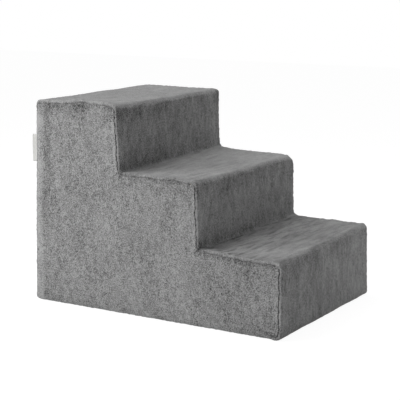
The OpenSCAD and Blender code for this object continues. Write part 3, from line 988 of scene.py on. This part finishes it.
def round_edge():
    """Walks round the edge. Gives its grid points in order, how far each is pulled so that the corners
    become round, and the way out at each, which is None at a square corner."""
    edge = []
    pulled = np.zeros((len(xs), len(zs), 2))
    outward = {}
    for number, ((i0, j0), (i1, j1)) in enumerate(zip(marks, marks[1:])):
        along = np.array((np.sign(i1 - i0), np.sign(j1 - j0)), float)
        out = np.array((-along[1], along[0]))
        count = max(abs(i1 - i0), abs(j1 - j0))
        a = np.array((xs[i0], zs[j0]))
        b = np.array((xs[i1], zs[j1]))
        for k in range(count + 1):
            i = i0 + (i1 - i0) * k // count
            j = j0 + (j1 - j0) * k // count
            if k < count:
                edge.append((i, j))
            here = np.array((xs[i], zs[j]))
            way = out
            for corner, radius, sense in ((a, radii[number], 1), (b, radii[number + 1], -1)):
                if radius == 0.0:
                    continue
                r = radius - flat_inset if radius > 0 else -radius + flat_inset
                reach = np.linalg.norm(here - corner)
                if reach >= r - 1e-9:
                    continue
                angle = math.radians(45) * (1 - reach / r)
                inward = -out if radius > 0 else out
                middle = corner + along * sense * r + inward * r
                turn = -sense * along if radius > 0 else sense * along
                way = out * math.cos(angle) + turn * math.sin(angle)
                arm = way if radius > 0 else -way
                pulled[i, j] = middle + arm * r - here
            outward[(i, j)] = way
    for corner in ((0, 0), (0, last_row), (last_column, 0)):
        outward[corner] = None
    return edge, pulled, outward


def evened_out(pulled, fixed):
    """Lets the points inside follow those that are pulled: each moves as its neighbours do on average."""
    drift = pulled.copy()
    for turn in range(even_out_rounds):
        total = np.zeros_like(drift)
        near = np.zeros(inside.shape)
        for shift, axis in ((1, 0), (-1, 0), (1, 1), (-1, 1)):
            there = np.roll(inside, shift, axis)
            if axis == 0:
                there[0 if shift == 1 else -1, :] = False
            else:
                there[:, 0 if shift == 1 else -1] = False
            total += np.roll(drift, shift, axis) * there[:, :, None]
            near += there
        drift = np.where(fixed[:, :, None], pulled, total / np.maximum(near, 1)[:, :, None])
    return drift


edge, pulled, way_out = round_edge()
on_edge = np.zeros(inside.shape, bool)
on_edge[tuple(np.transpose(edge))] = True
places = np.stack(np.meshgrid(xs, zs, indexing="ij"), axis=2) + evened_out(pulled, on_edge)
number_of = -np.ones(inside.shape, int)
number_of[inside] = range(int(inside.sum()))
flat_points = [(places[i, j, 0], -half_width, places[i, j, 1]) for i, j in np.argwhere(inside)]
flat_faces = []
for i in range(last_column):
    for j in range(last_row):
        square = [(i, j), (i + 1, j), (i + 1, j + 1), (i, j + 1)]
        if all(inside[p] for p in square):
            flat_faces.append(tuple(int(number_of[p]) for p in square))


def edge_run(first, last):
    """Places and ways out along the edge, with a fan of ways at a square corner."""
    spots = []
    k = edge.index(first)
    while True:
        i, j = edge[k % len(edge)]
        spot = places[i, j]
        before = edge[(k - 1) % len(edge)]
        after = edge[(k + 1) % len(edge)]
        if way_out[(i, j)] is None:
            start = np.array((-(j - before[1]), i - before[0]), float)
            end = np.array((-(after[1] - j), after[0] - i), float)
            for share in steps(6):
                angle = math.radians(90) * share
                spots.append((spot, start * math.cos(angle) + end * math.sin(angle)))
        else:
            spots.append((spot, way_out[(i, j)]))
        if (i, j) == last and k > edge.index(first):
            break
        k += 1
    return spots


# The edge has two runs. From the seam on the back, over the steps and to the one under the front,
# it is sewn to the step cover. The rest is rolled round the floor and the back. Each section
# (y, depth) leads from the flat part to the turned-in edge.
sewn = edge_run((0, seam_row), (under_column, 0))
sewn_section = [(-half_width, flat_inset)]
sewn_section += [
    (-half_width + turn_r * (1 - math.cos(a)), flat_inset - turn_r * math.sin(a)) for a in turned[1:]
]
sewn_section.append((-half_width + turn_r + turn_in, roll_r - crossed))
rolled = edge_run((under_column, 0), (0, seam_row))
rolled_section = [(-half_width, flat_inset)]
rolled_section += [
    (-half_width + roll_r * (1 - math.cos(b)), roll_r * (1 - math.sin(b)))
    for b in (math.radians(90) - roll_start) * steps(8)
]
rolled_section += [
    (-half_width + roll_r - turn_r * (1 - math.sin(a)), turn_r * (1 - math.cos(a))) for a in turned[1:]
]
rolled_section.append((-half_width + roll_r + crossed, turn_r + turn_in))


def side_cover(name, node, side, seed):
    """The side cover for one side: -1 is the labelled one."""
    points = list(flat_points)
    faces = list(flat_faces)
    for spots, section in ((sewn, sewn_section), (rolled, rolled_section)):
        first = len(points)
        for spot, way in spots:
            for y, depth in section:
                at = spot + way * (flat_inset - depth)
                points.append((at[0], y, at[1]))
        faces += [f[::-1] for f in grid_faces(len(spots), len(section), first)]
    points = np.array(points)
    if side > 0:
        points[:, 1] *= -1
        faces = [f[::-1] for f in faces]
    piece = mesh_object(name, points, faces)
    weld(piece)
    gaps = np.array([seam_tree.find(Vector(p))[2] for p in read_points(piece)])
    settle(piece, np.nonzero(gaps < turn_r + turn_in + crossed)[0], fullness=0.004, pressure=0.5, cap=0.0012)
    make_finer(piece)
    drawn_in(piece, seed, side_relief)
    piece.data.materials.append(side_plush)
    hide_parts(node)
    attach(piece, "stairs")


side_cover("left_side_cover", "left_side_panel", -1, seed=31)
side_cover("right_side_cover", "right_side_panel", 1, seed=47)

# Label. A bare white satin ribbon, folded double and caught in the back seam near the top.
ribbon_t = 0.0003
label_low, label_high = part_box("side_label")
label_y = (label_low.y + label_high.y) / 2
label_fold_r = 0.00032
label_out = label_high.x - label_low.x - label_fold_r - ribbon_t / 2
label_curl = 0.0009
label_rows = 22
ribbon = [(share * label_out, label_fold_r) for share in steps(8)]
ribbon += [
    (label_out + label_fold_r * math.sin(a), label_fold_r * math.cos(a))
    for a in math.radians(180) * steps(6)[1:-1]
]
ribbon += [(share * label_out, -label_fold_r) for share in steps(8)[::-1]]
label_points = []
for share in steps(label_rows):
    z = label_low.z + (label_high.z - label_low.z) * share
    for out, off in ribbon:
        lean = (out / label_out) ** 2
        curl = lean * (label_curl * math.sin(2.2 + 3.4 * share) - 0.0005)
        label_points.append((label_high.x - out, label_y + off + curl, z))
side_label_ribbon = mesh_object("side_label_ribbon", label_points, grid_faces(label_rows + 1, len(ribbon)))


def thicken(piece, thickness):
    """Gives a sheet its thickness, half of it to each side."""
    modifier = piece.modifiers.new("thickness", "SOLIDIFY")
    modifier.thickness = thickness
    modifier.offset = 0.0
    modifier.use_even_offset = True
    keep_shape(piece, modifier)


def threads(material, place, direction, scale, distortion, detail=2.0):
    """The ribs that threads make along a direction: X, Y, Z or DIAGONAL."""
    return add_node(
        material, "ShaderNodeTexWave", {"wave_type": "BANDS", "bands_direction": direction},
        Vector=place, Scale=scale, Distortion=distortion, Detail=detail,
    ).outputs["Fac"]


write_points(side_label_ribbon, leaning(read_points(side_label_ribbon)))
thicken(side_label_ribbon, ribbon_t)
label_material, label_shader = new_material("satin_ribbon", 0.42, Specular_IOR_Level=0.35, Sheen_Weight=0.1)
label_place = object_place(label_material)
paint(
    label_material, label_shader,
    noise_node(label_material, drawn_down(label_material, label_place, 0.2), 900.0, 2.0),
    [(0.25, 0.56, 0.56, 0.54), (0.75, 0.68, 0.68, 0.66)],
)
bump(label_material, label_shader, threads(label_material, label_place, "Z", 420.0, 0.4, 1.0), 0.0002, 0.4)
side_label_ribbon.data.materials.append(label_material)
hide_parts("side_label")
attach(side_label_ribbon, "stairs")

# Base. Two pieces of black woven fabric with rubber dots under the stairs. Each is folded twice
# to a hem beside the zip, and the hem is sewn down through the tape with two rows of stitches.
base_x0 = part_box("base_panel_left")[0].x
base_x1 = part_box("base_panel_left")[1].x
base_half = half_width - roll_r
dot_h = 0.0008
base_t = 0.0013
base_z = dot_h + base_t / 2
hem_w = 0.012
hem_pitch = 0.00145
fold_r = hem_pitch / 2
slot_half = 0.007

# How the cut edges curl up into the seams beside and at the ends: (distance from the edge, rise).
side_curl = [(0.0, 0.0019), (0.0004, 0.0008), (0.0014, 0.0)]
end_curl = [(0.0003, 0.0017), (0.0006, 0.0007), (0.0015, 0.0)]

base_material, base_shader, base_place = speckled(
    "woven_base_fabric", 0.85, (260.0, 4.0, 0.7), [(0.25, 0.008, 0.008, 0.009), (0.8, 0.026, 0.026, 0.028)],
    Specular_IOR_Level=0.2,
)
weft = threads(base_material, base_place, "X", 300.0, 1.0, 1.0)
warp = threads(base_material, base_place, "Y", 300.0, 1.0, 1.0)
bump(base_material, base_shader, maths(base_material, "MULTIPLY", weft, warp), 0.0004, 0.6)


def base_sheet(name, node, side, seed):
    """The strip of base fabric on one side of the zip: -1 is towards the label."""
    slot_y = zip_y + side * slot_half
    reach = abs(side * base_half - slot_y)
    flat_from = reach - side_curl[-1][0]
    half_turn = math.radians(180) * steps(4)[1:]
    section = [(reach - inward, up) for inward, up in side_curl]
    section += [
        (flat_from - (flat_from - fold_r) * share, 0.0) for share in steps(math.ceil(reach / 0.009))[1:]
    ]
    section += [(fold_r - fold_r * math.sin(a), fold_r - fold_r * math.cos(a)) for a in half_turn]
    section += [(fold_r + (hem_w - 2 * fold_r) * share, hem_pitch) for share in steps(3)[1:]]
    section += [
        (hem_w - fold_r + fold_r * math.sin(a), hem_pitch + fold_r - fold_r * math.cos(a)) for a in half_turn
    ]
    section += [(hem_w - fold_r - (hem_w - 3 * fold_r) * share, 2 * hem_pitch) for share in steps(3)[1:]]
    lengthwise = [(base_x0 + inward, up) for inward, up in end_curl]
    flat_x0 = lengthwise[-1][0]
    flat_l = base_x1 - base_x0 - 2 * end_curl[-1][0]
    lengthwise += [(flat_x0 + flat_l * share, 0.0) for share in steps(60)[1:-1]]
    lengthwise += [(-x, up) for x, up in lengthwise[2::-1]]
    points = [
        (x, slot_y + side * across_it, base_z + up + height)
        for x, up in lengthwise for across_it, height in section
    ]
    faces = grid_faces(len(lengthwise), len(section))
    if side > 0:
        faces = [f[::-1] for f in faces]
    piece = mesh_object(name, points, faces)
    points = read_points(piece)
    write_points(piece, points + np.outer(abs(lumps(points, 0.03, seed)), (0, 0, 0.00015)))
    thicken(piece, base_t)
    piece.data.materials.append(base_material)
    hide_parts(node)
    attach(piece, "stairs")
    return piece, (base_x1 - base_x0 + 0.003, section_length(section))


base_left_sheet, base_left_flat = base_sheet("base_left_sheet", "base_panel_left", -1, 61)
base_right_sheet, base_right_flat = base_sheet("base_right_sheet", "base_panel_right", 1, 67)

# Rubber dots, printed on the base fabric in staggered rows, so that the stairs grip the floor.
# Each is drawn by rings (radius, height) from the fabric down to its top.
dot_pitch = 0.010
dot_row_pitch = dot_pitch * 0.866
dot_rings = [(0.0017, dot_h + 0.0001), (0.0014, 0.00032), (0.0008, 0.00006)]
dot_sides = 8
dot_margin = 0.003
dot_clear = 0.0022
stitch_gaps = (0.0025, 0.0100)
dot_material, dot_shader, dot_place = speckled(
    "rubber_dots", 0.55, (600.0, 3.0, 0.5), [(0.3, 0.018, 0.018, 0.019), (0.75, 0.040, 0.040, 0.042)],
    Specular_IOR_Level=0.4,
)
bump(dot_material, dot_shader, noise_node(dot_material, dot_place, 2500.0, 2.0), 0.00015, 0.3)


def circle(count):
    """Angles of that many equal steps round a circle."""
    return [2 * math.pi * s / count for s in range(count)]


def dots_between(name, y0, y1, stitched_y):
    """The dots on one strip of base fabric, apart from those that the hem stitches would meet."""
    points, faces = [], []
    room = y1 - y0 - 2 * dot_margin
    rows = int(room / dot_row_pitch)
    for row in range(rows + 1):
        y = y0 + dot_margin + (room - rows * dot_row_pitch) / 2 + row * dot_row_pitch
        if any(abs(y - line) < dot_clear for line in stitched_y):
            continue
        count = int((base_x1 - base_x0 - 0.010) / dot_pitch) - row % 2
        for k in range(count + 1):
            x = -count * dot_pitch / 2 + k * dot_pitch
            first = len(points)
            for radius, z in dot_rings:
                for angle in circle(dot_sides):
                    points.append((x + radius * math.cos(angle), y + radius * math.sin(angle), z))
            points.append((x, y, 0.0))
            faces += grid_faces(len(dot_rings), dot_sides, first, around=True)
            ring = first + (len(dot_rings) - 1) * dot_sides
            faces += [(ring + s, ring + (s + 1) % dot_sides, len(points) - 1) for s in range(dot_sides)]
    piece = mesh_object(name, points, [f[::-1] for f in faces])
    piece.data.materials.append(dot_material)
    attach(piece, "stairs")
    return piece


left_stitches = [zip_y - slot_half - gap for gap in stitch_gaps]
right_stitches = [zip_y + slot_half + gap for gap in stitch_gaps]
left_dots = dots_between("grip_dots_left", -base_half, zip_y - slot_half, left_stitches)
right_dots = dots_between("grip_dots_right", zip_y + slot_half, base_half, right_stitches)

# Hem stitches. Black polyester thread in lockstitch, which holds hem and zip tape together. Each
# stitch is thick in its middle and thins out where it dives into the cloth: (place, thickness).
stitch_pitch = 0.0032
stitch_l = 0.0027
stitch_sag = 0.00012
stitch_slant = 0.00015
thread_r = 0.00026
stitch_sides = 6
stitch_shape = [(-0.5, 0.35), (-0.42, 0.85), (0.0, 1.0), (0.42, 0.85), (0.5, 0.35)]
thread_material, thread_shader = new_material("polyester_thread", 0.5, Sheen_Weight=0.2)
thread_ply = threads(thread_material, object_place(thread_material), "DIAGONAL", 900.0, 0.5)
paint(thread_material, thread_shader, thread_ply, [(0.1, 0.02, 0.02, 0.021), (0.9, 0.07, 0.07, 0.072)])
bump(thread_material, thread_shader, thread_ply, 0.0001, 0.5)


def stitch_row(name, lines):
    """Rows of stitches along x, one at each y in lines."""
    points, faces = [], []
    count = int((base_x1 - base_x0 - 0.008) / stitch_pitch)
    for y in lines:
        for k in range(count + 1):
            x = -count * stitch_pitch / 2 + k * stitch_pitch
            first = len(points)
            for place, thick in stitch_shape:
                sag = stitch_sag * (1 - (2 * place) ** 2)
                for angle in circle(stitch_sides):
                    points.append((
                        x + place * stitch_l,
                        y + thread_r * thick * math.cos(angle) + stitch_slant * place,
                        dot_h - sag + thread_r * thick * math.sin(angle),
                    ))
            last = first + (len(stitch_shape) - 1) * stitch_sides
            faces += grid_faces(len(stitch_shape), stitch_sides, first, around=True)
            faces.append(tuple(first + s for s in range(stitch_sides)))
            faces.append(tuple(last + s for s in range(stitch_sides))[::-1])
    piece = mesh_object(name, points, [f[::-1] for f in faces])
    piece.data.materials.append(thread_material)
    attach(piece, "stairs")
    return piece


left_hem_stitches = stitch_row("hem_stitches_left", left_stitches)
right_hem_stitches = stitch_row("hem_stitches_right", right_stitches)

# Zip tapes. Two woven polyester tapes, each with the teeth moulded round its inner edge. Past the
# stops at both ends they meet in the middle.
tape_t = 0.00052
tape_inset = 0.0002
tape_wave = 0.00008
tape_rows = 70
tape_material, tape_shader, tape_place = speckled(
    "woven_tape", 0.8, (500.0, 3.0, 0.5), [(0.3, 0.050, 0.050, 0.051), (0.75, 0.095, 0.095, 0.097)],
    Specular_IOR_Level=0.25, Sheen_Weight=0.1,
)
tape_weft = threads(tape_material, tape_place, "X", 380.0, 0.3)
tape_warp = threads(tape_material, tape_place, "Y", 260.0, 0.3)
bump(tape_material, tape_shader, maths(tape_material, "ADD", tape_weft, tape_warp), 0.0003, 0.5)
stops_low, stops_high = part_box("zip_end_stops")
for side, node, name in ((-1, "zip_tape_left", "tape_left"), (1, "zip_tape_right", "tape_right")):
    tape_low, tape_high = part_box(node)
    tape_z = (tape_low.z + tape_high.z) / 2
    tape_y = [tape_low.y + (tape_high.y - tape_low.y) * share for share in steps(6)]
    tape_points = []
    for share in steps(tape_rows):
        x = tape_low.x + tape_inset + (tape_high.x - tape_low.x - 2 * tape_inset) * share
        past_stops = x < stops_low.x or x > stops_high.x
        for y in tape_y:
            free = abs(y - zip_y) / 0.015
            wave = tape_wave * free * math.sin(share * 61 + side)
            at_middle = past_stops and abs(y - zip_y) < 0.0015
            tape_points.append((x, zip_y + side * 0.0001 if at_middle else y, tape_z + wave))
    tape = mesh_object(name, tape_points, grid_faces(tape_rows + 1, len(tape_y)))
    thicken(tape, tape_t)
    tape.data.materials.append(tape_material)
    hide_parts(node)
    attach(tape, "stairs")

# Teeth, stops, slider and pull tab. The teeth are moulded in grey plastic. Slider, pull tab and
# stops are die-cast and lacquered, and the lacquer is rubbed through along the edges.
teeth_material, teeth_shader, teeth_place = speckled(
    "moulded_teeth", 0.38, (350.0, 3.0, 0.5), [(0.3, 0.070, 0.070, 0.074), (0.75, 0.120, 0.120, 0.126)],
    Specular_IOR_Level=0.5,
)
bump(teeth_material, teeth_shader, noise_node(teeth_material, teeth_place, 3000.0, 2.0), 0.0001, 0.25)
metal_material, metal_shader = new_material("die_cast_metal", 0.34, Metallic=1.0)
metal_wear = noise_node(metal_material, object_place(metal_material), 900.0, 4.0, 0.7)
metal_edge = add_node(metal_material, "ShaderNodeNewGeometry").outputs["Pointiness"]
metal_rub = maths(metal_material, "MULTIPLY", maths(metal_material, "ADD", metal_wear, metal_edge), 0.5)
paint(
    metal_material, metal_shader, metal_rub,
    [(0.40, 0.17, 0.17, 0.18), (0.52, 0.23, 0.23, 0.24), (0.64, 0.40, 0.40, 0.40)],
)
bump(metal_material, metal_shader, metal_wear, 0.00008, 0.3)
for node, finish in (
    ("zip_teeth_left", teeth_material), ("zip_teeth_right", teeth_material),
    ("zip_end_stops", metal_material), ("zip_slider", metal_material), ("zip_pull_tab", metal_material),
):
    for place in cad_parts[node].material_slots:
        place.material = finish

# Floor and light. A pale studio floor that runs out to white, a large soft lamp from the side
# of the label, one from above, and plain light from all round. The floor is clear from below and
# open under the stairs, where a small lamp lights the zip.
floor_half = 6.0
floor_corners = [(-1, -1), (1, -1), (1, 1), (-1, 1)]
floor = mesh_object(
    "floor",
    [(x * floor_half, y * floor_half, 0.0) for x, y in floor_corners]
    + [(x * base_x1, y * base_half, 0.0) for x, y in floor_corners],
    [(k, (k + 1) % 4, (k + 1) % 4 + 4, k + 4) for k in range(4)],
)
floor_material, floor_shader = new_material(
    "floor", 0.9, Base_Color=(0.80, 0.80, 0.80, 1.0), Specular_IOR_Level=0.0
)


def seen_directly(material):
    """1 where a ray comes from the camera, from a glossy surface or through glass, and 0 elsewhere."""
    rays = add_node(material, "ShaderNodeLightPath").outputs
    by_surface = maths(material, "MAXIMUM", rays["Is Glossy Ray"], rays["Is Transmission Ray"])
    return maths(material, "MAXIMUM", rays["Is Camera Ray"], by_surface)


floor_white = add_node(floor_material, "ShaderNodeEmission", Color=(1.0, 1.0, 1.0, 1.0), Strength=0.93)
floor_veil = add_node(floor_material, "ShaderNodeBsdfDiffuse", Color=(0.16, 0.16, 0.16, 1.0))
floor_pale = add_node(
    floor_material, "ShaderNodeAddShader", _0=floor_white.outputs["Emission"], _1=floor_veil.outputs["BSDF"]
)
floor_mix = add_node(
    floor_material, "ShaderNodeMixShader",
    _0=seen_directly(floor_material), _1=floor_shader.outputs["BSDF"], _2=floor_pale.outputs["Shader"],
)
from_below = maths(
    floor_material, "MULTIPLY",
    add_node(floor_material, "ShaderNodeLightPath").outputs["Is Camera Ray"],
    add_node(floor_material, "ShaderNodeNewGeometry").outputs["Backfacing"],
)
floor_clear = add_node(
    floor_material, "ShaderNodeMixShader",
    _0=from_below, _1=floor_mix.outputs["Shader"],
    _2=add_node(floor_material, "ShaderNodeBsdfTransparent").outputs["BSDF"],
)
floor_tree = floor_material.node_tree
floor_tree.links.new(floor_clear.outputs["Shader"], floor_tree.nodes["Material Output"].inputs["Surface"])
floor.data.materials.append(floor_material)

# The plain light from all round looks white where it is seen directly.
world = bpy.data.worlds.new("studio")
scene.world = world
world.use_nodes = True
world_tree = world.node_tree
world_light = world_tree.nodes["Background"]
world_light.inputs["Color"].default_value = (1.0, 1.0, 1.0, 1.0)
world_light.inputs["Strength"].default_value = 0.34
world_white = add_node(world, "ShaderNodeBackground", Color=(1.0, 1.0, 1.0, 1.0), Strength=1.0)
world_mix = add_node(
    world, "ShaderNodeMixShader",
    _0=seen_directly(world), _1=world_light.outputs["Background"], _2=world_white.outputs["Background"],
)
world_tree.links.new(world_mix.outputs["Shader"], world_tree.nodes["World Output"].inputs["Surface"])


def soft_lamp(name, place, aim, size, power):
    """A square soft box at a place, turned towards the point that it is aimed at."""
    data = bpy.data.lights.new(name, "AREA")
    data.shape = "SQUARE"
    data.size = size
    data.energy = power
    lamp = bpy.data.objects.new(name, data)
    lamp.location = place
    lamp.rotation_euler = (Vector(aim) - Vector(place)).to_track_quat("-Z", "Y").to_euler()
    scene.collection.objects.link(lamp)


soft_lamp("side_lamp", (-1.40, -1.60, 1.25), (-0.15, 0.0, 0.20), 1.1, 34.5)
soft_lamp("top_lamp", (-0.35, 0.25, 1.80), (-0.05, 0.0, 0.25), 1.0, 10.6)
soft_lamp("front_fill", (1.30, 0.80, 0.50), (0.10, 0.15, 0.18), 0.7, 1.4)
soft_lamp("under_lamp", (0.30, 0.10, -0.90), (0.0, 0.05, 0.0), 0.7, 8.0)

scene.view_settings.view_transform = "Standard"
